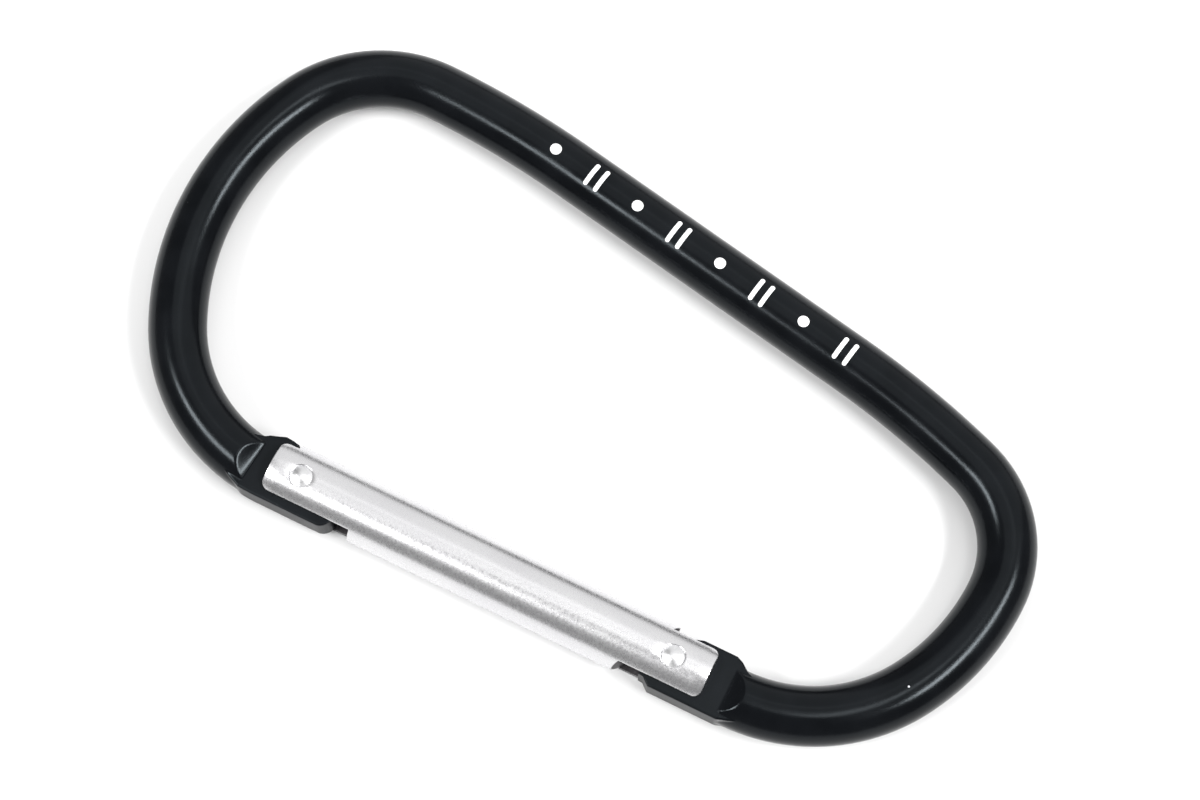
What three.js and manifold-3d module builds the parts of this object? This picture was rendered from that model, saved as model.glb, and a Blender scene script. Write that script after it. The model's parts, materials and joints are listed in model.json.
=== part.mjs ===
// Accessory carabiner for keys: a bent aluminium rod closed by a sprung gate.
// Millimetres. X runs along the gate from the latch to the hinge, Y from the gate
// to the spine, Z up from the surface that the carabiner lies on.
import * as THREE from "three";
import { mergeVertices } from "three/addons/utils/BufferGeometryUtils.js";
import Module from "manifold-3d";

const wasm = await Module();
wasm.setup();

// ---------------------------------------------------------------- driving dimensions

// Ring
const overallLength = 80;
const overallWidth = 42;
const rodDiameter = 5;
const latchEndRadius = 24.5; // wide end of the D
const latchEndHeight = 0.9; // of that arc's centre above the middle of the width
const hingeEndRadius = 20.6; // narrow end of the D
const hingeEndHeight = -0.5;
const lowLatchRadius = 14.9;
const highLatchRadius = 11.5;
const highHingeRadius = 9.6;
const highHingeHeight = -0.8;
const lowHingeRadius = 15.1;
const latchEaseRadius = 90; // the spine bows a little before each corner
const latchEase = THREE.MathUtils.degToRad(8.6);
const hingeEaseRadius = 80;
const hingeEase = THREE.MathUtils.degToRad(9.7);

// Gate and where it sits
const gateDiameter = 5.6;
const gateInset = 0.5; // gate axis, inwards from the rod's axis
const latchPinFromBend = 2.95;
const hingePinFromBend = 5.75;
const gatePastLatchPin = 2.8;
const gatePastHingePin = 3.3;
const cheekCornerRadius = 0.9;
const openingAngle = THREE.MathUtils.degToRad(40);

// Pressed ends of the rod
const bladeThickness = 3.2;
const slotSideGap = 0.15; // between a blade's face and the slot, each side
const latchRampFoot = 4.4; // from the latch pin, outwards
const hingeRampFoot = 5.3; // from the hinge pin, outwards
const rampLength = 1.3;
const bladeInnerEdge = 2.5; // from the gate axis towards the spine
const bladeTaperLength = 2.2;
const rodIntoBlade = 1.6; // the rod runs on past the ramp's foot by this much

// Nose
const noseTip = 3.8; // past the latch pin
const noseTipRadius = 1.1;
const noseHookTop = 0.7;
const noseBulge = 0.3; // pull of the curve that swells the inner edge
const noseFall = 0.3; // that edge drops by this much down to the ramp's foot
const latchInnerSlotEnd = 1.4; // short of the latch pin
const latchOuterSlotEnd = 5.5; // past the latch pin
const latchWebDepth = 1.3; // wall left on the gate's inner side
const notchGap = 0.1; // round the latch pin
const slotEndGap = 0.2;

// Tongue and its cam
const camRest = 1.3; // pin centre to the face that the plunger presses
const camLever = 0.6; // plunger travel for each radian that the gate turns
const tongueShoulder = 1.7; // where the inner edge starts to fall away
const lobeReach = 2.0; // outer corner of the tongue, past the pin
const lobeRadius = 0.9;
const lobeClearance = 0.3; // from the plunger's side to the lobe
const hingeSlotReach = 2.05; // nearest that the slot's floor comes to the pin's centre
const hingeSlotTilt = THREE.MathUtils.degToRad(34); // of that floor, deeper on the outer side

// Rivets
const pinDiameter = 1.6;
const pinHeadDiameter = 2.0;
const pinHeadDepth = 0.4;
const pinHeadSink = 0.08; // head face below the crown of the gate
const pinRunningGap = 0.05;

// Spring and plunger
const springBoreDiameter = 2.9;
const springBoreDepth = 14; // from the hinge pin
const plungerDiameter = 2.7;
const plungerGuideLength = 4;
const plungerStubDiameter = 1.4;
const plungerStubLength = 1.6;
const plungerDome = 0.25;
const springWire = 0.4;
const springCoilDiameter = 2.1; // at the middle of the wire
const springTurns = 9;
const restGap = 0.05; // between pieces that rest on each other

// Facets
const rodSides = 24;
const rodSteps = 112;
const roundSides = 32;
const pinSides = 24;
const camSteps = 6;
const cornerSteps = 6;
const springSides = 6;
const springStepsPerTurn = 14;

// ---------------------------------------------------------------- places

const rodRadius = rodDiameter / 2;
const gateRadius = gateDiameter / 2;
const pinRadius = pinDiameter / 2;
const slotHeight = bladeThickness + 2 * slotSideGap;
const cheekHalfWidth = Math.sqrt(gateRadius ** 2 - (slotHeight / 2) ** 2);
const latchLine = -overallLength / 2 + rodRadius;
const hingeLine = overallLength / 2 - rodRadius;
const baseLine = -overallWidth / 2 + rodRadius;
const spineLine = overallWidth / 2 - rodRadius;
const gateAxis = baseLine + gateInset;
const bladeOuterEdge = -(rodRadius + gateInset); // in line with the rod's outer side

// A corner circle that touches an end arc from inside, with its centre at height y.
function cornerInside(end, r, y, side) {
  const across = Math.sqrt((end.r - r) ** 2 - (y - end.y) ** 2);
  return { x: end.x + side * across, y, r };
}

const latchEnd = { x: latchLine + latchEndRadius, y: latchEndHeight, r: latchEndRadius };
const hingeEnd = { x: hingeLine - hingeEndRadius, y: hingeEndHeight, r: hingeEndRadius };
const lowLatch = cornerInside(latchEnd, lowLatchRadius, baseLine + lowLatchRadius, -1);
const highLatch = cornerInside(latchEnd, highLatchRadius, spineLine - highLatchRadius, -1);
const highHinge = cornerInside(hingeEnd, highHingeRadius, highHingeHeight, 1);
const lowHinge = cornerInside(hingeEnd, lowHingeRadius, baseLine + lowHingeRadius, 1);

const latchPinX = lowLatch.x + latchPinFromBend;
const hingePinX = lowHinge.x - hingePinFromBend;
const pinSpacing = hingePinX - latchPinX;

// ---------------------------------------------------------------- ring centreline

const angleFrom = (a, b) => Math.atan2(b.y - a.y, b.x - a.x);

function arcRun(circle, from, to) {
  return {
    length: circle.r * (to - from),
    at(s) {
      const a = from + s / circle.r;
      return new THREE.Vector3(
        circle.x + circle.r * Math.cos(a),
        circle.y + circle.r * Math.sin(a),
        0,
      );
    },
  };
}

function lineRun(a, b) {
  const length = a.distanceTo(b);
  return { length, at: (s) => a.clone().lerp(b, s / length) };
}

// Runs of arc and line, one after the other, walked at an even pace.
class RunPath extends THREE.Curve {
  constructor(runs) {
    super();
    this.runs = runs;
    this.total = runs.reduce((sum, run) => sum + run.length, 0);
    this.arcLengthDivisions = 400;
  }

  getPoint(t) {
    let s = t * this.total;
    let i = 0;
    while (i < this.runs.length - 1 && s > this.runs[i].length) {
      s -= this.runs[i].length;
      i += 1;
    }
    return this.runs[i].at(s);
  }
}

// From the tongue round the hinge end, back along the spine and round to the nose.
function ringPath(tongueStart, noseStart) {
  const turn = 2 * Math.PI;
  const easedRadius = (r, ease, easeR) => r * Math.cos(ease) + easeR * (1 - Math.cos(ease));
  const latchPull = easedRadius(highLatch.r, latchEase, latchEaseRadius);
  const hingePull = easedRadius(highHinge.r, hingeEase, hingeEaseRadius);
  const apart = Math.hypot(highHinge.x - highLatch.x, highHinge.y - highLatch.y);
  const spineNormal = angleFrom(highLatch, highHinge) + Math.acos((latchPull - hingePull) / apart);
  const easeCircle = (corner, easeR, angle) => ({
    x: corner.x + (corner.r - easeR) * Math.cos(angle),
    y: corner.y + (corner.r - easeR) * Math.sin(angle),
    r: easeR,
  });
  const hingeBow = easeCircle(highHinge, hingeEaseRadius, spineNormal - hingeEase);
  const latchBow = easeCircle(highLatch, latchEaseRadius, spineNormal + latchEase);
  const spineFrom = arcRun(hingeBow, spineNormal, spineNormal).at(0);
  const spineTo = arcRun(latchBow, spineNormal, spineNormal).at(0);
  const lowHingeJoin = angleFrom(hingeEnd, lowHinge);
  const highHingeJoin = angleFrom(hingeEnd, highHinge);
  const highLatchJoin = angleFrom(latchEnd, highLatch);
  const lowLatchJoin = angleFrom(latchEnd, lowLatch) + turn;
  const straightDown = -turn / 4;
  return new RunPath([
    lineRun(new THREE.Vector3(tongueStart, baseLine, 0), new THREE.Vector3(lowHinge.x, baseLine, 0)),
    arcRun(lowHinge, straightDown, lowHingeJoin),
    arcRun(hingeEnd, lowHingeJoin, highHingeJoin),
    arcRun(highHinge, highHingeJoin, spineNormal - hingeEase),
    arcRun(hingeBow, spineNormal - hingeEase, spineNormal),
    lineRun(spineFrom, spineTo),
    arcRun(latchBow, spineNormal, spineNormal + latchEase),
    arcRun(highLatch, spineNormal + latchEase, highLatchJoin),
    arcRun(latchEnd, highLatchJoin, lowLatchJoin),
    arcRun(lowLatch, lowLatchJoin, straightDown + turn),
    lineRun(new THREE.Vector3(lowLatch.x, baseLine, 0), new THREE.Vector3(noseStart, baseLine, 0)),
  ]);
}

// ---------------------------------------------------------------- solids

// A closed geometry as a solid that can be joined and cut.
function solid(geometry) {
  const bare = geometry.clone();
  bare.deleteAttribute("normal");
  bare.deleteAttribute("uv");
  const merged = mergeVertices(bare, 1e-4);
  return new wasm.Manifold(
    new wasm.Mesh({
      numProp: 3,
      vertProperties: merged.attributes.position.array,
      triVerts: new Uint32Array(merged.index.array),
    }),
  );
}

function geometryOf(made) {
  const mesh = made.getMesh();
  const geometry = new THREE.BufferGeometry();
  geometry.setAttribute("position", new THREE.BufferAttribute(mesh.vertProperties, 3));
  geometry.setIndex(new THREE.BufferAttribute(mesh.triVerts, 1));
  geometry.computeVertexNormals();
  return geometry;
}

function shapeOf(points) {
  return new THREE.Shape(points.map(([x, y]) => new THREE.Vector2(x, y)));
}

// An outline in XY given a height in Z, centred on the mid-plane.
function plate(shape, height, curveSegments = 6) {
  const settings = { depth: height, bevelEnabled: false, curveSegments };
  return new THREE.ExtrudeGeometry(shape, settings).translate(0, 0, -height / 2);
}

// A cylinder along X between two places, on the line y = z = 0.
function barAlongX(radius, from, to, sides) {
  const geometry = new THREE.CylinderGeometry(radius, radius, to - from, sides);
  return geometry.rotateZ(Math.PI / 2).translate((from + to) / 2, 0, 0);
}

function barAlongZ(radius, height, sides) {
  return new THREE.CylinderGeometry(radius, radius, height, sides).rotateX(Math.PI / 2);
}

// ---------------------------------------------------------------- body

// Cuts the rod down to the blade's thickness, above and below, behind a sloping ramp.
// side is 1 where the rod lies towards +X of the ramp, -1 where it lies towards -X.
function pressCut(rampFootX, side) {
  const clear = 2 * rodDiameter;
  const slope = rampLength / (rodRadius - bladeThickness / 2);
  const above = (z) => z - bladeThickness / 2;
  const profile = (up) =>
    new THREE.Shape([
      new THREE.Vector2(rampFootX, (up * bladeThickness) / 2),
      new THREE.Vector2(rampFootX + side * slope * above(clear), up * clear),
      new THREE.Vector2(rampFootX - side * clear, up * clear),
      new THREE.Vector2(rampFootX - side * clear, (up * bladeThickness) / 2),
    ]);
  const jaw = (up) => {
    const geometry = new THREE.ExtrudeGeometry(profile(up), { depth: 2 * clear, bevelEnabled: false });
    return solid(geometry.translate(0, 0, -clear).rotateX(Math.PI / 2).translate(0, baseLine, 0));
  };
  return jaw(1).add(jaw(-1));
}

// Blade end that hooks round the latch pin. Its outline is about the pin's centre.
function noseBlade() {
  const notch = pinRadius + notchGap;
  const webFace = gateRadius - latchWebDepth - slotEndGap;
  const step = -(latchInnerSlotEnd + slotEndGap);
  const outer = bladeOuterEdge;
  const innerEdge = bladeInnerEdge;
  const footEdge = innerEdge - noseFall;
  const taperEnd = -(latchRampFoot + bladeTaperLength);
  const shape = new THREE.Shape();
  shape.moveTo(-latchRampFoot, outer);
  shape.lineTo(noseTip - noseTipRadius, outer);
  shape.absarc(noseTip - noseTipRadius, outer + noseTipRadius, noseTipRadius, -Math.PI / 2, 0, false);
  shape.lineTo(noseTip, noseHookTop);
  shape.lineTo(notch, noseHookTop);
  shape.lineTo(notch, 0);
  shape.absarc(0, 0, notch, 0, -Math.PI, true);
  shape.lineTo(-notch, webFace);
  shape.lineTo(step, webFace);
  shape.lineTo(step, innerEdge);
  shape.quadraticCurveTo((step - latchRampFoot) / 2, innerEdge + noseBulge, -latchRampFoot, footEdge);
  shape.lineTo(taperEnd, outer + rodRadius + bladeThickness / 2);
  shape.lineTo(taperEnd, outer + rodRadius - bladeThickness / 2);
  shape.closePath();
  return plate(shape, bladeThickness).translate(latchPinX, gateAxis, 0);
}

// The cam face is the involute that moves a flat plunger camLever for each radian.
function camPoints() {
  const points = [];
  for (let i = 0; i <= camSteps; i += 1) {
    const turned = (openingAngle * i) / camSteps;
    const reach = -(camRest + camLever * turned);
    points.push([
      reach * Math.cos(turned) + camLever * Math.sin(turned),
      -reach * Math.sin(turned) + camLever * Math.cos(turned),
    ]);
  }
  return points;
}

// Blade end that the gate turns on. Its outline is about the hinge pin's centre.
function tongueBlade() {
  const outer = bladeOuterEdge;
  const lobeStep = -(plungerDiameter / 2 + lobeClearance);
  const taperEnd = hingeRampFoot + bladeTaperLength;
  const shape = new THREE.Shape();
  shape.moveTo(taperEnd, outer + rodRadius - bladeThickness / 2);
  shape.lineTo(taperEnd, outer + rodRadius + bladeThickness / 2);
  shape.lineTo(hingeRampFoot, bladeInnerEdge);
  shape.lineTo(tongueShoulder, bladeInnerEdge);
  for (const [x, y] of camPoints().reverse()) shape.lineTo(x, y);
  shape.lineTo(-camRest, lobeStep);
  shape.lineTo(-lobeReach, outer + lobeRadius);
  shape.absarc(-lobeReach + lobeRadius, outer + lobeRadius, lobeRadius, Math.PI, 1.5 * Math.PI, false);
  shape.lineTo(hingeRampFoot, outer);
  shape.closePath();
  return plate(shape, bladeThickness).translate(hingePinX, gateAxis, 0);
}

function carabinerBody() {
  const tongueStart = hingePinX + hingeRampFoot - rodIntoBlade;
  const noseStart = latchPinX - latchRampFoot + rodIntoBlade;
  const section = new THREE.Shape().absarc(0, 0, rodRadius, 0, 2 * Math.PI, false);
  const rod = new THREE.ExtrudeGeometry(section, {
    extrudePath: ringPath(tongueStart, noseStart),
    steps: rodSteps,
    curveSegments: rodSides / 2,
    bevelEnabled: false,
  });
  const hole = barAlongZ(pinRadius + pinRunningGap, 2 * bladeThickness, pinSides);
  return geometryOf(
    solid(rod)
      .subtract(pressCut(hingePinX + hingeRampFoot, 1))
      .subtract(pressCut(latchPinX - latchRampFoot, -1))
      .add(solid(noseBlade()))
      .add(solid(tongueBlade()))
      .subtract(solid(hole.translate(hingePinX, gateAxis, 0))),
  );
}

// ---------------------------------------------------------------- gate, about the hinge pin

// Slot for the tongue, with its floor sloping inwards to the outer side.
function hingeSlot() {
  const floorAt = (y) => -hingeSlotReach / Math.cos(hingeSlotTilt) + Math.tan(hingeSlotTilt) * y;
  const clear = 2 * gateRadius;
  return plate(
    shapeOf([
      [floorAt(clear), clear],
      [floorAt(-clear), -clear],
      [gatePastHingePin + clear, -clear],
      [gatePastHingePin + clear, clear],
    ]),
    slotHeight,
  );
}

// Slot for the nose: short through the inner side, long through the outer side.
function latchSlot() {
  const clear = 2 * gateRadius;
  const webFace = gateRadius - latchWebDepth;
  return plate(
    shapeOf([
      [-pinSpacing - gatePastLatchPin - clear, -clear],
      [-pinSpacing + latchOuterSlotEnd, -clear],
      [-pinSpacing + latchOuterSlotEnd, webFace],
      [-pinSpacing - latchInnerSlotEnd, webFace],
      [-pinSpacing - latchInnerSlotEnd, clear],
      [-pinSpacing - gatePastLatchPin - clear, clear],
    ]),
    slotHeight,
  );
}

// What is filed off one corner of a cheek. out is the way the gate's end faces.
function cheekCorner(endX, out, side) {
  const r = cheekCornerRadius;
  const clear = gateRadius;
  const centreX = endX - out * r;
  const centreY = side * (cheekHalfWidth - r);
  const sweep = [];
  for (let i = 0; i <= cornerSteps; i += 1) {
    const a = (Math.PI / 2) * (i / cornerSteps);
    sweep.push([centreX + out * r * Math.cos(a), centreY + side * r * Math.sin(a)]);
  }
  const outline = [...sweep, [centreX, side * 2 * clear], [endX + out * clear, side * 2 * clear]];
  outline.push([endX + out * clear, centreY]);
  const ccw = THREE.ShapeUtils.area(outline.map(([x, y]) => new THREE.Vector2(x, y))) > 0;
  return plate(shapeOf(ccw ? outline : outline.reverse()), 4 * gateRadius);
}

// A rivet along Z: a shank with a conical head at each end, fatter all round by a gap.
// Its ends are carried past the heads by a run-out where it is the tool that cuts the hole.
function rivetGeometry(gap, runOut) {
  const top = gateRadius - pinHeadSink;
  const head = pinHeadDiameter / 2 + gap;
  const half = [
    [pinRadius + gap, top - pinHeadDepth],
    [head, top],
  ];
  if (runOut > 0) half.push([head, top + runOut]);
  half.push([0, top + runOut]);
  const below = half.map(([r, z]) => [r, -z]).reverse();
  const profile = [...below, ...half].map(([r, z]) => new THREE.Vector2(r, z));
  return new THREE.LatheGeometry(profile, pinSides).rotateX(Math.PI / 2);
}

function gateBar() {
  const latchFace = -pinSpacing - gatePastLatchPin;
  let bar = solid(barAlongX(gateRadius, latchFace, gatePastHingePin, roundSides));
  bar = bar.subtract(solid(hingeSlot())).subtract(solid(latchSlot()));
  bar = bar.subtract(solid(barAlongX(springBoreDiameter / 2, -springBoreDepth, 0, pinSides)));
  for (const side of [-1, 1]) {
    bar = bar.subtract(solid(cheekCorner(latchFace, -1, side)));
    bar = bar.subtract(solid(cheekCorner(gatePastHingePin, 1, side)));
  }
  for (const x of [0, -pinSpacing]) {
    bar = bar.subtract(solid(rivetGeometry(pinRunningGap, 2 * pinHeadSink).translate(x, 0, 0)));
  }
  return geometryOf(bar);
}

// Plunger along X, its domed face resting on the cam.
function plunger() {
  const r = plungerDiameter / 2;
  const stub = plungerStubDiameter / 2;
  const profile = [
    [0, 0],
    [r - plungerDome, 0],
    [r, -plungerDome],
    [r, -plungerGuideLength],
    [stub, -plungerGuideLength],
    [stub, -plungerGuideLength - plungerStubLength],
    [0, -plungerGuideLength - plungerStubLength],
  ];
  const geometry = new THREE.LatheGeometry(
    profile.reverse().map(([radius, x]) => new THREE.Vector2(radius, x)),
    pinSides,
  );
  return geometry.rotateZ(-Math.PI / 2).translate(-camRest - restGap, 0, 0);
}

// Helix along X from the bottom of the bore to the plunger's shoulder.
class SpringHelix extends THREE.Curve {
  constructor(from, to) {
    super();
    this.from = from;
    this.to = to;
  }

  getPoint(t) {
    const a = 2 * Math.PI * springTurns * t;
    const r = springCoilDiameter / 2;
    const x = THREE.MathUtils.lerp(this.from, this.to, t);
    return new THREE.Vector3(x, r * Math.cos(a), r * Math.sin(a));
  }
}

function gateSpring() {
  const end = springWire / 2 + restGap;
  const from = -springBoreDepth + end;
  const to = -camRest - restGap - plungerGuideLength - end;
  const wire = new THREE.Shape().absarc(0, 0, springWire / 2, 0, 2 * Math.PI, false);
  return new THREE.ExtrudeGeometry(wire, {
    extrudePath: new SpringHelix(from, to),
    steps: springTurns * springStepsPerTurn,
    curveSegments: springSides / 2,
    bevelEnabled: false,
  });
}

// ---------------------------------------------------------------- assembly

const blackAnodised = { color: 0x16181c, roughness: 0.38, metalness: 0.6 };
const satinAluminium = { color: 0xd6d8dc, roughness: 0.35, metalness: 0.9 };
const springSteel = { color: 0x9a9ca0, roughness: 0.3, metalness: 1 };

function piece(name, geometry, finish) {
  const mesh = new THREE.Mesh(geometry, new THREE.MeshStandardMaterial(finish));
  mesh.name = name;
  return mesh;
}

const carabiner = new THREE.Group();
carabiner.position.z = gateRadius; // the gate is the thickest piece, so it rests on the surface
carabiner.add(piece("carabiner_body", carabinerBody(), blackAnodised));

const gate = new THREE.Group();
gate.position.set(hingePinX, gateAxis, 0);
carabiner.add(gate);
gate.add(piece("gate_bar", gateBar(), satinAluminium));
gate.add(piece("hinge_pin", rivetGeometry(0, 0), satinAluminium));
gate.add(piece("spring_plunger", plunger(), springSteel));
gate.add(piece("gate_spring", gateSpring(), springSteel));

const latchPin = piece("latch_pin", rivetGeometry(0, 0), satinAluminium);
latchPin.position.x = -pinSpacing;
gate.add(latchPin);

export default carabiner;
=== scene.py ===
"""Looks of an accessory carabiner for keys: a black anodised ring and a satin aluminium gate."""
import json
import math

import bmesh
import bpy
import numpy as np
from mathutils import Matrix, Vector


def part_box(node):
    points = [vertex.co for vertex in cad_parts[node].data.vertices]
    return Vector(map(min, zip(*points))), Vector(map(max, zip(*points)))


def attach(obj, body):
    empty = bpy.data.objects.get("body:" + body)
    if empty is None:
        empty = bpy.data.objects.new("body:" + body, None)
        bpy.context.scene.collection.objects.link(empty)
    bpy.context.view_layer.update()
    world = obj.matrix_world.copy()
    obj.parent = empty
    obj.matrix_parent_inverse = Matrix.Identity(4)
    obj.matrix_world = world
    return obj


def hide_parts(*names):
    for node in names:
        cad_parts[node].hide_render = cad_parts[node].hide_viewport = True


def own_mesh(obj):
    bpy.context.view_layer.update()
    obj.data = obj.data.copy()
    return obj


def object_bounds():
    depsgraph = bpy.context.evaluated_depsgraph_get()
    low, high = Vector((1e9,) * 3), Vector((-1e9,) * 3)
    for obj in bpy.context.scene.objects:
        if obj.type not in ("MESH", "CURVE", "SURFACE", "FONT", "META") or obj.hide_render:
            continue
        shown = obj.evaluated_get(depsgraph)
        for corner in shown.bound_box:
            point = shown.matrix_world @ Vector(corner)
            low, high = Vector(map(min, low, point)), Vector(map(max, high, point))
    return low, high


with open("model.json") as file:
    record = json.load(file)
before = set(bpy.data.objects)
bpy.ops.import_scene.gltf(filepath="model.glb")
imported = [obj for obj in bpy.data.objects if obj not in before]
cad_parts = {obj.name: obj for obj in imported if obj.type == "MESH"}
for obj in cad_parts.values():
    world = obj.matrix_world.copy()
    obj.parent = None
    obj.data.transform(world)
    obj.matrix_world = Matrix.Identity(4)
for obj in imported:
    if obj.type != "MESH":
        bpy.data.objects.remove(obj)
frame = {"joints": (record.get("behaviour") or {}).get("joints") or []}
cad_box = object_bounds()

MM = 0.001

# ---------------------------------------------------------------- places, in millimetres


def box_mm(node):
    """Lowest and highest corner of a CAD node."""
    low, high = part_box(node)
    return np.array(low) / MM, np.array(high) / MM


BODY_LOW, BODY_HIGH = box_mm("carabiner_body")
GATE_LOW, GATE_HIGH = box_mm("gate_bar")
HINGE = sum(box_mm("hinge_pin")) / 2
LATCH = sum(box_mm("latch_pin")) / 2
PLUNGER_HIGH = box_mm("spring_plunger")[1]
SPRING_LOW, SPRING_HIGH = box_mm("gate_spring")

ROD = (BODY_HIGH[2] - BODY_LOW[2]) / 2  # radius
BAR = (GATE_HIGH[2] - GATE_LOW[2]) / 2  # radius
MID = HINGE[2]  # height of the middle plane
AXIS = HINGE[1]  # line of the gate
BASE = BODY_LOW[1] + ROD  # rod's axis along the gate side
SPINE = BODY_HIGH[1] - ROD  # rod's axis at the top of the spine
LATCH_LINE = BODY_LOW[0] + ROD
HINGE_LINE = BODY_HIGH[0] - ROD

# Blades pressed from the rod's ends. Edges are measured from the gate's line, and places along
# it from the pin of that end, outwards.
BLADE = 1.6  # half thickness
SLOT = 1.75  # half height of the gate's slots
OUTER = -3.0  # both blades' outer edge
INNER = 2.5  # tongue's inner edge
LATCH_FOOT = 4.4  # ramp's foot
HINGE_FOOT = 5.3
RAMP_SLOPE = 0.9 / 1.3
FOOT_FILLET = 0.36
ROD_FROM = 1.9  # past a ramp's foot, where the section is the rod's alone
CROWD_TO = 3.0  # past a ramp's foot, where a section's points stand evenly again
ROD_EDGE = math.sqrt(ROD**2 - BLADE**2) - 0.06  # just inside the rod's half width at a blade's face
CORNER_POWER = 22.0  # of the rounded rectangle
CREST_POWER = 60.0  # of the line where a ramp cuts the rod

PIN = 0.8  # radius
NOTCH = PIN + 0.1
NOSE_TIP = 3.8
NOSE_TIP_R = 1.1
HOOK_TOP = 0.7
WEB_EDGE = 1.3  # nose's inner edge beside the gate's web
WEB_TO = 1.6
SWELL_TOP = 2.66
SWELL_AT = 2.9
SWELL_REACH, SWELL_DROP = 1.3, 0.16  # how it falls towards the web
FLANK_SLOPE, FLANK_TO = 0.34, 2.0  # and towards the ramp
TONGUE_TIP = 2.0
TONGUE_END = -2.1  # height at which both its edges meet at the tip
TONGUE_CORNER = 0.93  # where the slant of the tip meets the outer edge, on the gate's side
CAM_REST = 1.3  # from the pin's centre to the plunger's face
CAM_LEVER = 0.6  # plunger's travel for each radian
CAM_FOOT = -1.65  # inner edge where the step up to the cam begins
CAM_END = 1.7  # where the inner edge becomes level
LEVEL_TO = 4.7
TAPER_TO, TAPER_EDGE = 6.2, 1.9
OPENING = 40  # degrees

# Gate
GATE_RIM = 0.08  # round of its end faces
CHEEK_CORNER = 0.7
EDGE_BEVEL = 0.07
SLOT_TILT = math.radians(34)  # of the hinge slot's floor
SLOT_FLOOR = 2.05  # from the hinge pin's centre
WEB_THICK = 1.3
WEB_REACH = 1.4  # past the latch pin
LATCH_SLOT = 5.5  # from the latch pin to its floor
BORE_R, BORE_LENGTH = 1.45, 14.0
HOLE_R, SINK_R, SINK_DEPTH, SINK_FROM = 0.85, 1.05, 0.4, 0.08
NEAR_AXIS = 0.02  # radius of a turned piece's innermost ring

# Rivets
HEAD_R = 0.99
HEAD_TOP, HEAD_RIM, HEAD_FOOT = 0.03, 0.33, 0.55  # below the bar's top
HEAD_DOME, DOME_TO = 0.33, 0.5
HEAD_FLANK = 0.43
HEAD_BEND = 0.1  # drop for each square millimetre off the bar's axis

# Plunger and spring
PLUNGER_R, GUIDE_LENGTH = 1.35, 4.0
STUB_R, PLUNGER_LENGTH = 0.7, 5.6
COILS = 9
WIRE = 0.2  # radius
COIL_R = 1.05  # radius of the wire's axis
END_PITCH = 0.42  # of the last turns, against the pitch between

# Arcs of the ring
LATCH_END_R, LATCH_END_Y = 24.5, 0.9
HINGE_END_R, HINGE_END_Y = 20.6, -0.5
LOW_LATCH_R, HIGH_LATCH_R = 14.9, 11.5
LOW_HINGE_R, HIGH_HINGE_R, HIGH_HINGE_Y = 15.1, 9.6, -0.8
LATCH_BOW_R, LATCH_EASE = 90.0, math.radians(8.6)
HINGE_BOW_R, HINGE_EASE = 80.0, math.radians(9.7)

# Places on the printed row
MARKS = 8
MARK_PITCH = 4.35
MARK_MIDDLE = 1.2  # along the spine from its middle, towards the latch
MARK_BAR_AT, MARK_BAR_HALF, MARK_BAR_R = 0.52, 0.95, 0.2
MARK_DOT_R = 0.5


# ---------------------------------------------------------------- ring centreline


def corner_inside(end, r, y, side):
    """A circle of radius r centred at height y that touches an end arc from inside."""
    across = math.sqrt((end[2] - r) ** 2 - (y - end[1]) ** 2)
    return (end[0] + side * across, y, r)


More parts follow.
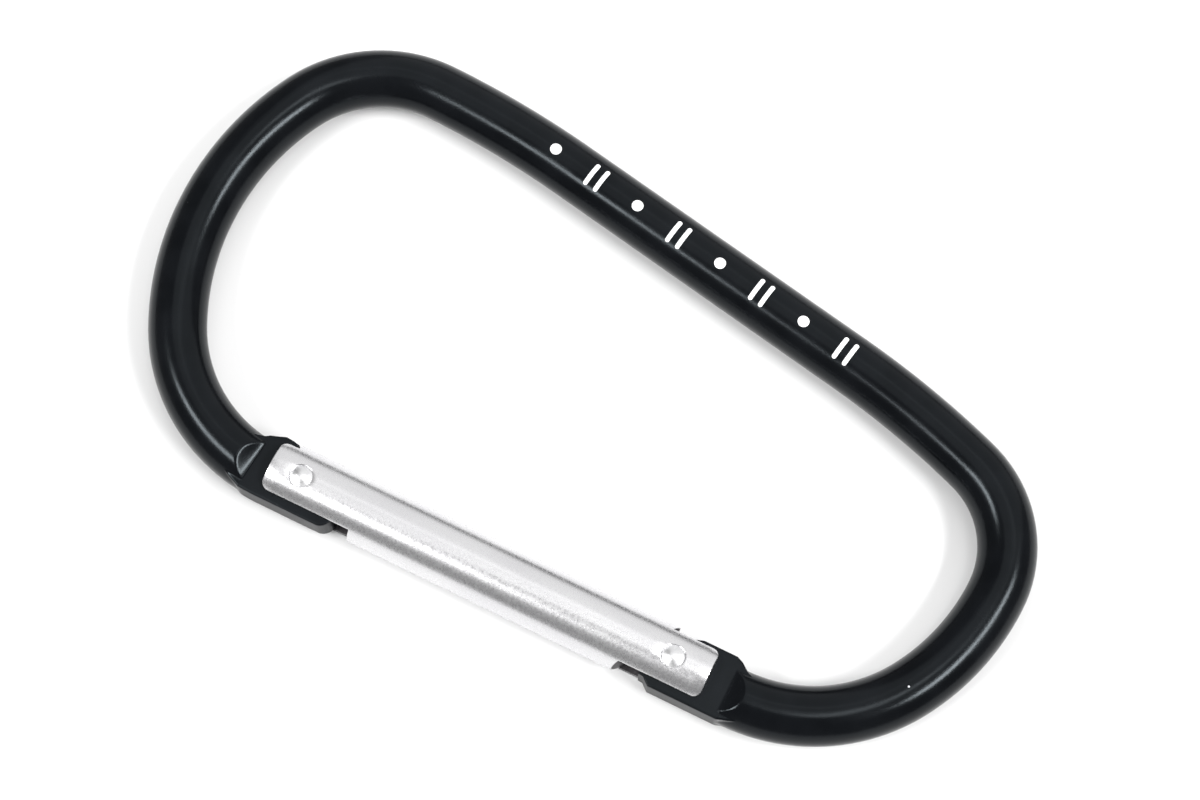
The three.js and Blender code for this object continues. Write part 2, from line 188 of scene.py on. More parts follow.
def ring_runs():
    """The centreline from the tongue's tip round to the nose's tip: (centre, radius, from, to)
    for an arc, or (start, None, heading, length) for a line."""
    latch_end = (LATCH_LINE + LATCH_END_R, LATCH_END_Y, LATCH_END_R)
    hinge_end = (HINGE_LINE - HINGE_END_R, HINGE_END_Y, HINGE_END_R)
    low_latch = corner_inside(latch_end, LOW_LATCH_R, BASE + LOW_LATCH_R, -1)
    high_latch = corner_inside(latch_end, HIGH_LATCH_R, SPINE - HIGH_LATCH_R, -1)
    high_hinge = corner_inside(hinge_end, HIGH_HINGE_R, HIGH_HINGE_Y, 1)
    low_hinge = corner_inside(hinge_end, LOW_HINGE_R, BASE + LOW_HINGE_R, 1)

    def pull(r, ease, bow_r):
        return r * math.cos(ease) + bow_r * (1 - math.cos(ease))

    def toward(a, b):
        return math.atan2(b[1] - a[1], b[0] - a[0])

    apart = math.hypot(high_hinge[0] - high_latch[0], high_hinge[1] - high_latch[1])
    latch_pull = pull(HIGH_LATCH_R, LATCH_EASE, LATCH_BOW_R)
    fall = latch_pull - pull(HIGH_HINGE_R, HINGE_EASE, HINGE_BOW_R)
    normal = toward(high_latch, high_hinge) + math.acos(fall / apart)

    def bow(corner, bow_r, angle):
        reach = corner[2] - bow_r
        return (corner[0] + reach * math.cos(angle), corner[1] + reach * math.sin(angle), bow_r)

    def on_arc(arc, angle):
        return np.array([arc[0] + arc[2] * math.cos(angle), arc[1] + arc[2] * math.sin(angle)])

    hinge_bow = bow(high_hinge, HINGE_BOW_R, normal - HINGE_EASE)
    latch_bow = bow(high_latch, LATCH_BOW_R, normal + LATCH_EASE)
    spine_from, spine_to = on_arc(hinge_bow, normal), on_arc(latch_bow, normal)
    run = spine_to - spine_from
    down = -math.pi / 2
    turns = [toward(hinge_end, low_hinge), toward(hinge_end, high_hinge)]
    turns += [toward(latch_end, high_latch), toward(latch_end, low_latch) + 2 * math.pi]
    start = HINGE[0] - TONGUE_TIP
    stop = LATCH[0] + NOSE_TIP
    return [
        ((start, BASE), None, 0.0, low_hinge[0] - start),
        (low_hinge[:2], low_hinge[2], down, turns[0]),
        (hinge_end[:2], hinge_end[2], turns[0], turns[1]),
        (high_hinge[:2], high_hinge[2], turns[1], normal - HINGE_EASE),
        (hinge_bow[:2], HINGE_BOW_R, normal - HINGE_EASE, normal),
        (tuple(spine_from), None, math.atan2(run[1], run[0]), float(np.hypot(*run))),
        (latch_bow[:2], LATCH_BOW_R, normal, normal + LATCH_EASE),
        (high_latch[:2], high_latch[2], normal + LATCH_EASE, turns[2]),
        (latch_end[:2], latch_end[2], turns[2], turns[3]),
        (low_latch[:2], low_latch[2], turns[3], down + 2 * math.pi),
        ((low_latch[0], BASE), None, 2 * math.pi, stop - low_latch[0]),
    ]


RUNS = ring_runs()
RUN_LENGTHS = [b if r is None else r * (b - a) for _, r, a, b in RUNS]
RING_LENGTH = sum(RUN_LENGTHS)
SPINE_START = sum(RUN_LENGTHS[:5])
SPINE_MIDDLE = SPINE_START + RUN_LENGTHS[5] / 2


def ring_at(s):
    """x, y and heading of the centreline at the distances s from the tongue's tip."""
    s = np.asarray(s, float)
    x, y, heading = np.zeros_like(s), np.zeros_like(s), np.zeros_like(s)
    begun = 0.0
    for (place, r, a, b), length in zip(RUNS, RUN_LENGTHS):
        here = s >= begun - 1e-9
        t = s - begun
        if r is None:
            px, py = place[0] + t * math.cos(a), place[1] + t * math.sin(a)
            turned = np.full_like(s, a)
        else:
            angle = a + t / r
            px, py = place[0] + r * np.cos(angle), place[1] + r * np.sin(angle)
            turned = angle + math.pi / 2
        x, y = np.where(here, px, x), np.where(here, py, y)
        heading = np.where(here, turned, heading)
        begun += length
    return x, y, heading


# ---------------------------------------------------------------- meshes


def mesh_object(name, points, faces, uv=None, sharp=None):
    """A piece from points in millimetres and quads, smooth but for edges sharper than an angle."""
    mesh = bpy.data.meshes.new(name)
    mesh.from_pydata((np.asarray(points) * MM).tolist(), [], faces)
    if uv is not None:
        layer = mesh.uv_layers.new(name="UVMap")
        layer.data.foreach_set("uv", np.asarray(uv, np.float32).ravel())
    mesh.validate()
    mesh.shade_smooth()
    if sharp is not None:
        mesh.set_sharp_from_angle(angle=math.radians(sharp))
    made = bpy.data.objects.new(name, mesh)
    bpy.context.scene.collection.objects.link(made)
    return made


def grid_faces(rows, columns, wrap):
    """Quads of a grid of points, row by row, joined round the columns where wrap is true."""
    last = columns if wrap else columns - 1
    i, j = np.meshgrid(np.arange(rows - 1), np.arange(last), indexing="ij")
    k = (j + 1) % columns
    row, after = i * columns, (i + 1) * columns
    return np.stack([row + j, row + k, after + k, after + j], -1).reshape(-1, 4)


def closed_tube(name, rings, sharp=None):
    """A closed skin over rings of points, shape (rows, columns, 3), each end drawn to its middle.
    Its UVMap runs 0 to 1 along the rows and 0 to 1 round the columns."""
    rows, columns = rings.shape[:2]
    points = np.concatenate([rings.reshape(-1, 3), rings[0].mean(0)[None], rings[-1].mean(0)[None]])
    quads = grid_faces(rows, columns, True)
    ring = np.arange(columns)
    after = (ring + 1) % columns
    first = np.stack([np.full(columns, rows * columns), after, ring], -1)
    base = (rows - 1) * columns
    last = np.stack([np.full(columns, rows * columns + 1), base + ring, base + after], -1)
    faces = quads.tolist() + first.tolist() + last.tolist()
    across = (quads % columns) / columns
    across = np.where((across == 0) & (across.max(1, keepdims=True) > 0.5), 1.0, across)
    along = (quads // columns) / (rows - 1)
    uv_quads = np.stack([along, across], -1).reshape(-1, 2)
    uv_caps = np.zeros((6 * columns, 2))
    uv_caps[3 * columns:, 0] = 1.0
    return mesh_object(name, points, faces, np.concatenate([uv_quads, uv_caps]), sharp)


def spread(*stops):
    """Distances through the stops (place, count to the next), each place met once."""
    parts = [np.linspace(a, b, n, endpoint=False) for (a, n), (b, _) in zip(stops, stops[1:])]
    return np.concatenate(parts + [[stops[-1][0]]])


# ---------------------------------------------------------------- ring

STEP = 1e-4  # width of a sheer step
SECTION = 144  # points round the rod


def nose_edges(d):
    """Inner and outer edge of the nose, from the gate's line, at d outwards from the latch pin.
    The inner edge is the hook's top, a half circle for the pin, the web's step and a low swell."""
    bowl = -np.sqrt(np.clip(NOTCH**2 - d**2, 0, None))
    swell = SWELL_TOP - SWELL_DROP * ((d - SWELL_AT) / SWELL_REACH) ** 2
    flank = SWELL_TOP - FLANK_SLOPE * (d - SWELL_AT)
    top = np.where(d > SWELL_AT, np.maximum(flank, FLANK_TO), swell)
    inner = np.where(d < -NOTCH, HOOK_TOP, bowl)
    inner = np.where(d >= NOTCH, WEB_EDGE, inner)
    inner = np.where(d >= WEB_TO, top, inner)
    r = NOSE_TIP_R
    tip = OUTER + r - np.sqrt(np.clip(r**2 - np.minimum(d + NOSE_TIP - r, 0) ** 2, 0, None))
    return inner, np.where(d < -NOSE_TIP + r, tip, OUTER)


def cam_edge():
    """The cam face: the involute that moves a flat plunger evenly with the gate's angle."""
    turned = np.radians(np.linspace(0, OPENING, 12))
    reach = -(CAM_REST + CAM_LEVER * turned)
    cos_t, sin_t = np.cos(turned), np.sin(turned)
    return reach * cos_t + CAM_LEVER * sin_t, -reach * sin_t + CAM_LEVER * cos_t


def tongue_edges(d):
    """Inner and outer edge of the tongue, from the gate's line, at d outwards from the hinge pin.
    The inner edge rises a little from the tip, steps up to the cam, runs level and then falls
    towards the ramp. The outer edge begins with the slant of the tip."""
    cam_x, cam_y = cam_edge()
    before = [-TONGUE_TIP, -CAM_REST - STEP]
    places = np.concatenate([before, cam_x, [CAM_END, LEVEL_TO, TAPER_TO]])
    values = np.concatenate([[TONGUE_END, CAM_FOOT], cam_y, [INNER, INNER, TAPER_EDGE]])
    outer = np.interp(d, [-TONGUE_TIP, -TONGUE_CORNER], [TONGUE_END, OUTER])
    return np.interp(d, places, values), outer


def ring_distances():
    """Where the ring's sections stand, close together where the ends change shape. Each stop is a
    place and how many sections follow it before the next."""
    t = TONGUE_TIP
    tongue = spread(
        (0, 10), (t - CAM_REST - STEP, 1), (t - CAM_REST, 10), (t - TONGUE_CORNER, 6),
        (t + CAM_END, 12), (t + 4.6, 16), (t + 6.4, 26), (t + 7.6, 8), (t + 10, 1),
    )[:-1]
    n = RING_LENGTH - NOSE_TIP
    nose = spread(
        (n - 9, 6), (n - 6.8, 26), (n - 4.9, 24), (n - 3.9, 20), (n - WEB_TO - STEP, 1),
        (n - WEB_TO, 4), (n - NOTCH - STEP, 1), (n - NOTCH, 20), (n + NOTCH, 1),
        (n + NOTCH + STEP, 8), (n + 2.7, 16), (RING_LENGTH, 1),
    )
    rod = np.linspace(t + 10, n - 9, 210)[:-1]
    return np.concatenate([tongue, rod, nose])


def ring_rings():
    """Sections of the ring. Each is a rod clipped by the ramps' two planes, joined with the blade's
    rounded rectangle, as a distance from the section's middle in each direction."""
    s = ring_distances()
    at_hinge = s < RING_LENGTH / 2
    d = np.where(at_hinge, s - TONGUE_TIP, RING_LENGTH - NOSE_TIP - s)
    past = d - np.where(at_hinge, HINGE_FOOT, LATCH_FOOT)
    tongue_in, tongue_out = tongue_edges(d)
    nose_in, nose_out = nose_edges(d)
    shift = BASE - AXIS
    inner = np.where(at_hinge, tongue_in, nose_in) - shift
    outer = np.where(at_hinge, tongue_out, nose_out) - shift

    # the blade's edges fade into the rod
    fade = np.clip(past / ROD_FROM, 0, 1)
    faded = (1 - fade) * inner + fade * ROD_EDGE
    inner = np.where(past > 0, np.minimum(inner, faded), inner)
    outer = np.where(past > 0, (1 - fade) * outer - fade * ROD_EDGE, outer)
    inner = np.where(past > ROD_FROM, ROD_EDGE, inner)
    middle = np.where(past > ROD_FROM, 0.0, (inner + outer) / 2)
    half = (inner - outer) / 2
    height = BLADE + RAMP_SLOPE * (past + np.sqrt(past**2 + FOOT_FILLET**2)) / 2

    # directions, crowded at the blade's corners and even round the rod
    crowd = np.clip(1 - past / CROWD_TO, 0, 1)[:, None]
    power = 1 - 0.5 * crowd
    flatness = np.where(past < ROD_FROM, BLADE / np.maximum(half, 0.4), 1.0)[:, None]
    aspect = flatness * crowd + 1 - crowd
    v = np.arange(SECTION) / SECTION * 2 * math.pi
    cos_v, sin_v = np.cos(v)[None], np.sin(v)[None]
    ray_w = np.sign(cos_v) * np.abs(cos_v) ** power
    ray_z = np.sign(sin_v) * np.abs(sin_v) ** power * aspect
    size = np.hypot(ray_w, ray_z)
    ray_w, ray_z = ray_w / size, ray_z / size

    m, a, h, past = (q[:, None] for q in (middle, half, height, past))
    round_r = -m * ray_w + np.sqrt(ROD**2 - (m * ray_z) ** 2)
    crest = CREST_POWER
    clipped = (round_r**-crest + (np.abs(ray_z) / h) ** crest) ** (-1 / crest)
    rod = np.where(h > 1.6 * ROD, round_r, clipped)
    n = CORNER_POWER
    half_width = np.maximum(a, 0.3)
    blade = ((np.abs(ray_w) / half_width) ** n + (np.abs(ray_z) / BLADE) ** n) ** (-1 / n)
    r = np.where(past < -0.05, blade, np.maximum(blade, rod))
    r = np.where(past > ROD_FROM, rod, r)
    w, z = m + r * ray_w, r * ray_z
    x, y, heading = (q[:, None] for q in ring_at(s))
    return s, np.stack([x - w * np.sin(heading), y + w * np.cos(heading), z + MID], -1)


def make_ring():
    """The ring, its UVMap running along it by distance."""
    s, rings = ring_rings()
    made = closed_tube("ring_rod", rings, sharp=48)
    layer = made.data.uv_layers["UVMap"]
    flat = np.zeros(len(layer.data) * 2, np.float32)
    layer.data.foreach_get("uv", flat)
    along = flat[0::2] * (len(s) - 1)
    flat[0::2] = np.interp(along, np.arange(len(s)), s) / RING_LENGTH
    layer.data.foreach_set("uv", flat)
    return made


# ---------------------------------------------------------------- gate


BAR_SIDES = 80


def bar_rings():
    """Rings of the gate bar: a circle, drawn in over a small quarter-round rim at each end face."""
    low, high = GATE_LOW[0], GATE_HIGH[0]
    rim = GATE_RIM
    turn = np.linspace(0, math.pi / 2, 5)
    inset = rim * (1 - np.sin(turn))[::-1]
    between = np.linspace(low + rim, high - rim, 40)[1:-1]
    x = np.concatenate([low + inset, between, high - inset[::-1]])
    end = np.minimum(x - low, high - x)
    shrink = rim - np.sqrt(np.clip(rim**2 - np.clip(rim - end, 0, None) ** 2, 0, None))
    v = np.arange(BAR_SIDES) / BAR_SIDES * 2 * math.pi
    r = np.broadcast_to((BAR - shrink)[:, None], (len(x), BAR_SIDES))
    level = np.broadcast_to(x[:, None], r.shape)
    return np.stack([level, AXIS + r * np.cos(v), MID + r * np.sin(v)], -1)


def corner_outline(end_x, out, side):
    """What is filed off a corner of a cheek in plan: the square less a quarter circle."""
    r = CHEEK_CORNER
    cheek = math.sqrt(BAR**2 - SLOT**2)
    cx, cy = end_x - out * r, AXIS + side * (cheek - r)
    turn = np.linspace(0, math.pi / 2, 12)
    arc = list(zip(cx + out * r * np.cos(turn), cy + side * r * np.sin(turn)))
    far_x, far_y = end_x + out * BAR, cy + side * 2 * BAR
    return arc + [(cx, far_y), (far_x, far_y), (far_x, cy)]


def prism(name, outline, reach):
    """An upright solid: a closed outline carried as far below as above the middle plane."""
    count = len(outline)
    points = np.zeros((2, count, 3))
    points[:, :, :2] = outline
    points[:, :, 2] = [[MID - reach], [MID + reach]]
    faces = grid_faces(2, count, True).tolist()
    faces += [list(range(count))[::-1], list(range(count, 2 * count))]
    return mesh_object(name, points.reshape(-1, 3), faces)


def lathe(name, profile, centre, axis, sides=64, sharp=40):
    """A turned piece: (radius, height) points carried round an axis through a centre."""
    profile = np.asarray(profile, float)
    a = np.arange(sides) / sides * 2 * math.pi
    r, h = profile[:, 0][:, None], profile[:, 1][:, None]
    level = np.broadcast_to(h, (len(profile), sides))
    if axis == "z":
        rings = np.stack([r * np.cos(a), r * np.sin(a), level], -1)
    else:
        rings = np.stack([level, r * np.cos(a), r * np.sin(a)], -1)
    return closed_tube(name, rings + np.asarray(centre), sharp=sharp)


def outwards(made):
    """Turns a closed piece's faces outwards."""
    work = bmesh.new()
    work.from_mesh(made.data)
    bmesh.ops.recalc_face_normals(work, faces=work.faces)
    work.to_mesh(made.data)
    work.free()
    return made


def gate_cutters():
    """What is taken off the bar: two slots, the spring's bore, two countersunk holes and the
    corners of the cheeks."""
    hx, lx = HINGE[0], LATCH[0]
    wide = 2 * BAR
    near, far = AXIS - wide, AXIS + wide
    web = AXIS + BAR - WEB_THICK
    slant = math.tan(SLOT_TILT) * wide
    floor_x = hx - SLOT_FLOOR / math.cos(SLOT_TILT)
    slot_x = lx + LATCH_SLOT
    web_x = lx - WEB_REACH
    hinge_slot = [(floor_x - slant, near), (hx + wide, near), (hx + wide, far), (floor_x + slant, far)]
    latch_slot = [
        (lx - wide, near), (slot_x, near), (slot_x, web), (web_x, web), (web_x, far), (lx - wide, far),
    ]
    cutters = [
        prism("cut_hinge_slot", hinge_slot, SLOT),
        prism("cut_latch_slot", latch_slot, SLOT),
        lathe("cut_bore", [(BORE_R, -BORE_LENGTH), (BORE_R, 0.0)], (hx, AXIS, MID), "x", 48),
    ]
    top = BAR - SINK_FROM
    half = [(SINK_R, BAR + 0.3), (SINK_R, top), (HOLE_R, top - SINK_DEPTH)]
    hole = [(r, -h) for r, h in half] + half[::-1]
    for name, x in (("cut_hinge_hole", hx), ("cut_latch_hole", lx)):
        cutters.append(lathe(name, hole, (x, AXIS, MID), "z", 48))
    for k, (end_x, out) in enumerate(((GATE_LOW[0], -1), (GATE_HIGH[0], 1))):
        for side in (-1, 1):
            name = f"cut_corner_{k}_{side + 1}"
            cutters.append(prism(name, corner_outline(end_x, out, side), 2 * BAR))
    return [outwards(cutter) for cutter in cutters]


def make_gate():
    """The bar less its cutters, with a small bevel on every edge."""
    bar = outwards(closed_tube("gate_tube", bar_rings()))
    cutters = gate_cutters()
    for cutter in cutters:
        cut = bar.modifiers.new(cutter.name, "BOOLEAN")
        cut.operation, cut.solver, cut.object = "DIFFERENCE", "EXACT", cutter
    rim = bar.modifiers.new("rim", "BEVEL")
    rim.width, rim.segments, rim.limit_method = EDGE_BEVEL * MM, 2, "ANGLE"
    rim.angle_limit = math.radians(38)
    rim.use_clamp_overlap = True
    rim.harden_normals = False
    bpy.context.view_layer.update()
    ready = bar.evaluated_get(bpy.context.evaluated_depsgraph_get())
    mesh = bpy.data.meshes.new_from_object(ready)
    mesh.name = "gate_tube"
    bar.modifiers.clear()
    bar.data = mesh
    mesh.set_sharp_from_angle(angle=math.radians(50))
    for cutter in cutters:
        bpy.data.objects.remove(cutter)
    weigh = bar.modifiers.new("even_normals", "WEIGHTED_NORMAL")
    weigh.keep_sharp = True
    return bar


def rivet_profile():
    """Half outline of a rivet, from the lower head to the upper one. Each head falls by the square
    of the radius out to half a millimetre, and then by a nearly straight flank to its rim."""
    r = np.linspace(0.03, HEAD_R, 18)
    flank = HEAD_FLANK * (r - DOME_TO) - HEAD_BEND * (r**2 - DOME_TO**2)
    fall = np.where(r < DOME_TO, HEAD_DOME * r**2, HEAD_DOME * DOME_TO**2 + flank)
    half = list(zip(r, BAR - HEAD_TOP - fall))
    half += [(HEAD_R, BAR - HEAD_RIM), (PIN, BAR - HEAD_FOOT)]
    return [(a, -b) for a, b in half] + [(a, b) for a, b in half[::-1]]


def make_rivet(name, place):
    """A rivet: its half outline turned about the pin, each head drawn down by the square of the
    distance from the bar's axis so that it follows the bar's round."""
    r, h = np.array(rivet_profile()).T[:, :, None]
    a = np.arange(72) / 72 * 2 * math.pi
    x, y = r * np.cos(a), r * np.sin(a)
    z = h - np.sign(h) * HEAD_BEND * y**2
    rings = np.stack([x, y, z], -1) + (place[0], AXIS, MID)
    return outwards(closed_tube(name, rings, sharp=45))


def make_plunger():
    """A turned plunger: a chamfered face on the cam, a guide with a rounded rim and a stub for the
    spring. The outline is radius and depth behind the face."""
    r, guide, stub, end = PLUNGER_R, GUIDE_LENGTH, STUB_R, PLUNGER_LENGTH
    outline = [
        (NEAR_AXIS, 0), (r - 0.25, 0), (r - 0.06, 0.16), (r, 0.3), (r, guide - 0.06),
        (r - 0.06, guide), (stub + 0.08, guide), (stub, guide + 0.08), (stub, end - 0.1),
        (stub - 0.1, end), (NEAR_AXIS, end),
    ]
    face = PLUNGER_HIGH[0] - HINGE[0]
    profile = [(radius, face - depth) for radius, depth in outline[::-1]]
    return outwards(lathe("plunger", profile, (HINGE[0], AXIS, MID), "x", 56, 35))


def make_spring():
    """A round wire on a helix along X, its pitch closing up over the last turn at each end."""
    t = np.linspace(0, 1, COILS * 40 + 1)
    pace = END_PITCH + (1 - END_PITCH) * np.clip(np.minimum(t, 1 - t) * COILS, 0, 1)
    run = np.concatenate([[0], np.cumsum((pace[1:] + pace[:-1]) / 2)])
    run = run / run[-1]
    low, high = SPRING_LOW[0] + WIRE, SPRING_HIGH[0] - WIRE
    a = 2 * math.pi * COILS * t
    out = np.stack([np.zeros_like(a), np.cos(a), np.sin(a)], -1)
    centre = np.stack([low + (high - low) * run, np.full_like(a, AXIS), np.full_like(a, MID)], -1)
    path = centre + COIL_R * out
    along = np.gradient(path, axis=0)
    along /= np.linalg.norm(along, axis=1, keepdims=True)
    side = np.cross(along, out)
    side /= np.linalg.norm(side, axis=1, keepdims=True)
    b = (np.arange(14) / 14 * 2 * math.pi)[None, :, None]
    rings = path[:, None] + WIRE * (np.cos(b) * out[:, None] + np.sin(b) * side[:, None])
    return outwards(closed_tube("spring", rings, sharp=60))


# ---------------------------------------------------------------- materials


class Value:
    """A number or vector inside a material. Python's operators add Math nodes."""

    def __init__(self, tree, socket):
        self.tree, self.socket = tree, socket

    def make(self, kind, inputs=(), output=0, **settings):
        """Any node: inputs are (name or number, value) pairs."""
        node = self.tree.nodes.new(kind)
        for key, value in settings.items():
            setattr(node, key, value)
        for key, value in inputs:
            put(self.tree, node.inputs[key], value)
        return Value(self.tree, node.outputs[output])

    def maths(self, operation, *others):
        pairs = [(i, value) for i, value in enumerate((self,) + others)]
        return self.make("ShaderNodeMath", pairs, operation=operation)

    def reflected(self, operation, first):
        return self.make("ShaderNodeMath", [(0, first), (1, self)], operation=operation)

    def __add__(self, other):
        return self.maths("ADD", other)

    def __sub__(self, other):
        return self.maths("SUBTRACT", other)

    def __mul__(self, other):
        return self.maths("MULTIPLY", other)

    def __truediv__(self, other):
        return self.maths("DIVIDE", other)

    def __pow__(self, other):
        return self.maths("POWER", other)

    def __radd__(self, other):
        return self.reflected("ADD", other)

    def __rsub__(self, other):
        return self.reflected("SUBTRACT", other)

    def __rmul__(self, other):
        return self.reflected("MULTIPLY", other)

    def __rtruediv__(self, other):
        return self.reflected("DIVIDE", other)

    def __lt__(self, other):
        return self.maths("LESS_THAN", other)

    def __gt__(self, other):
        return self.maths("GREATER_THAN", other)

    def __abs__(self):
        return self.maths("ABSOLUTE")

    def stretched(self, factors):
        """A vector, each part multiplied by a number."""
        return self.make("ShaderNodeVectorMath", [(0, self), (1, factors)], operation="MULTIPLY")

    def parts(self):
        node = self.tree.nodes.new("ShaderNodeSeparateXYZ")
        put(self.tree, node.inputs[0], self)
        return [Value(self.tree, out) for out in node.outputs]

    def ramp(self, low, high, out_low=0.0, out_high=1.0):
        """out_low below low, out_high above high, and a smooth change between."""
        pairs = [("Value", self), ("From Min", low), ("From Max", high)]
        pairs += [("To Min", out_low), ("To Max", out_high)]
        return self.make("ShaderNodeMapRange", pairs, interpolation_type="SMOOTHSTEP")

    def mix(self, low, high):
        """Between two colours, by this value."""
        node = self.tree.nodes.new("ShaderNodeMix")
        node.data_type = "RGBA"
        put(self.tree, node.inputs["Factor"], self)
        put(self.tree, node.inputs[6], low)
        put(self.tree, node.inputs[7], high)
        return Value(self.tree, node.outputs[2])


def put(tree, socket, value):
    """Links a Value to a socket, or sets the socket to a constant."""
    if isinstance(value, Value):
        tree.links.new(value.socket, socket)
    else:
        socket.default_value = value


def noise(place, scale, detail=2.0, rough=0.5):
    """Noise from 0 to 1 with a grain of 1/scale metres."""
    pairs = [("Vector", place), ("Scale", scale), ("Detail", detail), ("Roughness", rough)]
    return place.make("ShaderNodeTexNoise", pairs)


def new_material(name, constants):
    """A material with a Principled shader whose constant sockets are set, and its coordinates."""
    made = bpy.data.materials.new(name)
    made.use_nodes = True
    tree = made.node_tree
    shader = tree.nodes["Principled BSDF"]
    for key, value in constants.items():
        shader.inputs[key].default_value = value
    coordinates = tree.nodes.new("ShaderNodeTexCoord")
    place = Value(tree, coordinates.outputs["Object"])
    uv = Value(tree, coordinates.outputs["UV"])
    return made, tree, shader, place, uv


def bump(tree, shader, height, distance):
    """Fine relief of a height from 0 to 1 over a distance in metres."""
    node = tree.nodes.new("ShaderNodeBump")
    node.inputs["Strength"].default_value = 1.0
    node.inputs["Distance"].default_value = distance
    put(tree, node.inputs["Height"], height)
    tree.links.new(node.outputs["Normal"], shader.inputs["Normal"])


QUARTER = 0.25  # of the way round the rod, where its top is


def mark_mask(uv):
    """1 inside a row of plain marks on the spine: by turns, a pair of upright bars and a dot."""
    along, across, _ = uv.parts()
    p = along * RING_LENGTH - (SPINE_MIDDLE + MARK_MIDDLE)
    q = (across - QUARTER) * (2 * math.pi * ROD)
    cell = (p / MARK_PITCH + MARKS / 2).maths("FLOOR")
    local = p - (cell - (MARKS / 2 - 0.5)) * MARK_PITCH
    bar_x = abs(abs(local) - MARK_BAR_AT)
    bar_y = (abs(q) - MARK_BAR_HALF).maths("MAXIMUM", 0.0)
    bar = (bar_x * bar_x + bar_y * bar_y).maths("SQRT") < MARK_BAR_R
    dot = (local * local + q * q).maths("SQRT") < MARK_DOT_R
    odd = cell.maths("MODULO", 2.0) > 0.5
    inside = (cell > -0.5) * (cell < MARKS - 0.5)
    return (odd * dot + (1.0 - odd) * bar) * inside


# Distances along the ring over which the pressed ends' duller finish fades out and in
PRESSED_TONGUE = (7.0, 7.6)
PRESSED_NOSE = (RING_LENGTH - 8.4, RING_LENGTH - 7.9)
FINE, FAINT = 0.000004, 0.000003  # relief of the grain, in metres


def black_anodised():
    """Dark anodising with a satin grain, faint cloudiness, few bright specks and a printed row."""
    gloss = {"Specular IOR Level": 0.155, "Specular Tint": (0.84, 0.94, 1.0, 1)}
    made, tree, shader, place, uv = new_material("black_anodised", gloss)
    cloud = noise(place, 260, 3.0)
    grain = noise(place, 9000, 2.0, 0.6)
    pairs = [("Vector", place), ("Scale", 620)]
    chips = place.make("ShaderNodeTexVoronoi", pairs, output="Distance", feature="F1")
    sparse = noise(place, 190, 1.0).ramp(0.66, 0.70)
    speck = (chips < 0.055) * sparse
    mark = mark_mask(uv)
    dark, light = (0.0016, 0.0019, 0.0026, 1), (0.0034, 0.0039, 0.0050, 1)
    black = speck.mix(cloud.ramp(0.3, 0.7).mix(dark, light), (0.55, 0.56, 0.58, 1))
    put(tree, shader.inputs["Base Color"], mark.mix(black, (0.93, 0.93, 0.93, 1)))
    s = uv.parts()[0] * RING_LENGTH
    pressed = s.ramp(*PRESSED_TONGUE, 1.0, 0.0) + s.ramp(*PRESSED_NOSE)
    satin = grain.ramp(0.2, 0.8, 0.16, 0.23) + cloud.ramp(0.3, 0.7, -0.02, 0.02) + pressed * 0.2
    put(tree, shader.inputs["Roughness"], satin * (1.0 - mark) + mark * 0.55)
    bump(tree, shader, grain, FINE)
    return made


def satin_aluminium():
    """Drawn aluminium: a fine grain, faint lines along the gate, dull patches and painted shade
    near black inside the slots."""
    made, tree, shader, place, _ = new_material("satin_aluminium", {})
    lines = noise(place.stretched((0.06, 1.0, 1.0)), 5200, 2.0, 0.6)
    grain = noise(place, 5200, 2.0, 0.65)
    patch = noise(place.stretched((0.4, 1.0, 1.0)), 420, 2.0)
    tone = (patch * 0.5 + grain * 0.5).ramp(0.3, 0.7)
    skin = tone.mix((0.60, 0.595, 0.61, 1), (0.65, 0.648, 0.655, 1))
    _, y, z = place.parts()
    off_y, off_z = y - AXIS * MM, z - MID * MM
    depth = (off_y * off_y + off_z * off_z).maths("SQRT")
    below_skin = depth.ramp((BAR - 0.12) * MM, (BAR - 0.05) * MM, 1.0, 0.0)
    # mask of the slots' insides, down to the lower cheek's inner face, where painted shade goes
    slot_shade_mask = (abs(off_z) < (SLOT + 0.02) * MM) * below_skin
    # painted shade: a near-black colour for the shade that falls inside the slots
    painted_slot_shade = grain.ramp(0.3, 0.7).mix((0.045, 0.04, 0.045, 1), (0.09, 0.085, 0.09, 1))
    put(tree, shader.inputs["Base Color"], slot_shade_mask.mix(skin, painted_slot_shade))
    # the painted shade's mask also makes the slots less metallic and rougher, so they stay dark
    put(tree, shader.inputs["Metallic"], 1.0 - slot_shade_mask * 0.8)
    put(tree, shader.inputs["Roughness"], grain.ramp(0.25, 0.75, 0.25, 0.32) + slot_shade_mask * 0.3)
    bump(tree, shader, lines * 0.4 + grain, FAINT)
    return made


def rivet_aluminium():
    """Peened aluminium: shallow dimples from the hammer and a bright, finer grain."""
    made, tree, shader, place, _ = new_material("rivet_aluminium", {"Metallic": 1.0})
    dimple = noise(place, 900, 1.0)
    grain = noise(place, 7000, 2.0)
    tone = grain.ramp(0.3, 0.7).mix((0.64, 0.64, 0.65, 1), (0.70, 0.70, 0.705, 1))
    put(tree, shader.inputs["Base Color"], tone)
    put(tree, shader.inputs["Roughness"], grain.ramp(0.3, 0.7, 0.31, 0.37))
    bump(tree, shader, dimple * 0.3 + grain * 0.1, FINE)
    return made


def spring_steel():
    """Drawn wire: fine scratches round the wire and a slight blueing."""
    made, tree, shader, place, _ = new_material("spring_steel", {"Metallic": 1.0})
    grain = noise(place, 6000, 3.0)
    tint = noise(place, 600, 1.0).ramp(0.3, 0.7)
    tone = tint.mix((0.52, 0.53, 0.56, 1), (0.63, 0.62, 0.60, 1))
    put(tree, shader.inputs["Base Color"], tone)
    put(tree, shader.inputs["Roughness"], grain.ramp(0.3, 0.7, 0.22, 0.36))
    bump(tree, shader, grain, FINE)
    return made


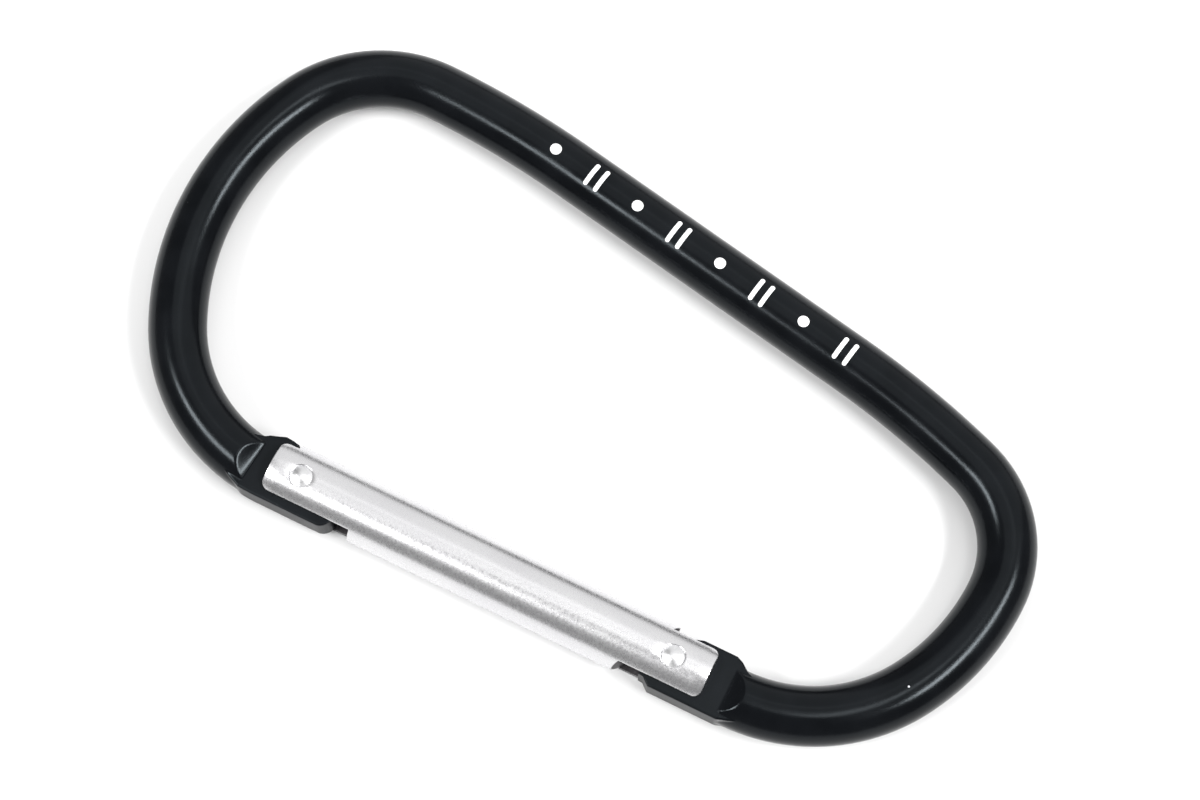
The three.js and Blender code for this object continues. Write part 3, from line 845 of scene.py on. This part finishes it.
def floor_material():
    """A pale, matt table with a barely uneven tone."""
    made, tree, shader, place, _ = new_material("pale_table", {"Specular IOR Level": 0.3})
    soft = noise(place, 30, 2.0)
    tone = soft.ramp(0.3, 0.7).mix((0.77, 0.77, 0.77, 1), (0.785, 0.785, 0.785, 1))
    put(tree, shader.inputs["Base Color"], tone)
    put(tree, shader.inputs["Roughness"], soft.ramp(0.3, 0.7, 0.55, 0.62))
    return made


# ---------------------------------------------------------------- pieces

PIECES = [
    (outwards(make_ring()), "ring", "carabiner_body", "black_anodised", black_anodised()),
    (make_gate(), "gate", "gate_bar", "satin_aluminium", satin_aluminium()),
    (make_rivet("hinge_rivet", HINGE), "gate", "hinge_pin", "rivet_aluminium", rivet_aluminium()),
    (make_rivet("latch_rivet", LATCH), "gate", "latch_pin", "rivet_aluminium", None),
    (make_plunger(), "plunger", "spring_plunger", "spring_steel", spring_steel()),
    (make_spring(), "gate", "gate_spring", "spring_steel", None),
]
by_slot = {slot: material for _, _, _, slot, material in PIECES if material}
for piece, body, node, slot, material in PIECES:
    piece.data.materials.clear()
    piece.data.materials.append(by_slot[slot])
    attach(piece, body)
    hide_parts(node)

slide = next(joint for joint in frame["joints"] if joint["name"] == "plunger_slide")
travel = max(abs(limit) for limit in slide["range_m"])
spring_length = (SPRING_HIGH[0] - SPRING_LOW[0]) * MM
spring = PIECES[-1][0]
1 - travel / spring_length
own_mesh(spring)

# ---------------------------------------------------------------- floor, light and camera

TABLE_SIDE = 3.0  # metres
TABLE_ROWS = 9
TABLE_GAP = 0.01  # millimetres below the part
edge = np.linspace(-TABLE_SIDE / 2, TABLE_SIDE / 2, TABLE_ROWS) / MM
gx, gy = np.meshgrid(edge, edge, indexing="ij")
table_points = np.stack([gx, gy, np.full_like(gx, cad_box[0][2] / MM - TABLE_GAP)], -1).reshape(-1, 3)
table_faces = grid_faces(TABLE_ROWS, TABLE_ROWS, False)[:, ::-1].tolist()
table = mesh_object("table", table_points, table_faces)
table.data.materials.append(floor_material())

AIM = Vector((0.535, -0.481, 2.8)) * MM
AZIMUTH, ELEVATION = math.radians(26.2), math.radians(74)
DISTANCE = 0.2399
BACK = Vector((
    math.sin(AZIMUTH) * math.cos(ELEVATION),
    -math.cos(AZIMUTH) * math.cos(ELEVATION),
    math.sin(ELEVATION),
))

lens = bpy.data.cameras.new("camera")
lens.lens, lens.sensor_width = 85, 36
lens.clip_start, lens.clip_end = 0.01, 20
camera = bpy.data.objects.new("camera", lens)
bpy.context.scene.collection.objects.link(camera)
camera.location = AIM + BACK * DISTANCE
camera.rotation_mode = "QUATERNION"
camera.rotation_quaternion = (-BACK).to_track_quat("-Z", "Y")
bpy.context.scene.camera = camera


def soft_box(name, across, up, depth, width, height, power):
    """A soft light at a place right, up and back from the aim as the camera sees it, facing it."""
    place = AIM + camera.rotation_quaternion @ Vector((across, up, depth))
    light = bpy.data.lights.new(name, "AREA")
    light.shape, light.size, light.size_y = "RECTANGLE", width, height
    light.energy = power
    made = bpy.data.objects.new(name, light)
    made.location = place
    made.rotation_mode = "QUATERNION"
    made.rotation_quaternion = (place - AIM).to_track_quat("Z", "Y")
    bpy.context.scene.collection.objects.link(made)


soft_box("left_box", -1.02, 0.10, 1.36, 0.85, 0.28, 20.5)
soft_box("right_box", 0.98, -0.02, 1.38, 0.85, 0.28, 26)
soft_box("lamp", 0.27, 0.34, 1.75, 0.6, 0.24, 2.8)
soft_box("top_box", 0.1, 0.84, 2.0, 1.6, 1.35, 6.0)
soft_box("back_box", 0.74, 1.54, 0.82, 2.6, 2.3, 15.5)

world = bpy.data.worlds.new("studio")
world.use_nodes = True
world.node_tree.nodes["Background"].inputs["Color"].default_value = (1.0, 1.0, 1.0, 1)
world.node_tree.nodes["Background"].inputs["Strength"].default_value = 0.35
bpy.context.scene.world = world
bpy.context.scene.view_settings.view_transform = "Standard"
